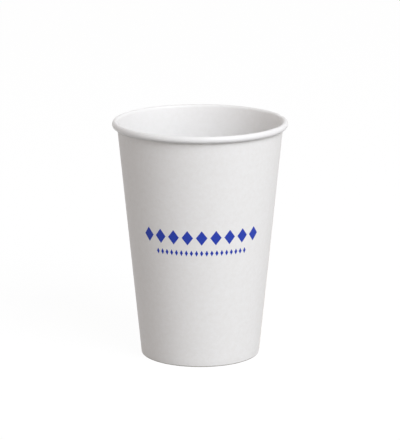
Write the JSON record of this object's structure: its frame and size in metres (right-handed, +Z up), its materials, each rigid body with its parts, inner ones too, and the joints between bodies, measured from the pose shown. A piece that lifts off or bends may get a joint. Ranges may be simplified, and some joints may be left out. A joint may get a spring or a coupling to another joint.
{
  "type": "paper cup",
  "caption": "Single-wall paper cup: a tapered side wall with a lapped seam, an outward rolled rim and a folded foot, and a recessed base.",
  "frame": {"origin": "centre of the foot, on the surface that the cup stands on", "axes": "+Z up along the cup's axis and out of its mouth, -Y towards the printed front, and the side seam 10 degrees from +X towards +Y"},
  "size_m": [0.0704, 0.0704, 0.0958],
  "materials": {
    "side_wall_board": "matte",
    "base_board": "matte",
    "print_ink": "satin"
  },
  "bodies": {
    "root": {"side_wall": "side_wall_board", "base": "base_board"}
  },
  "joints": []
}
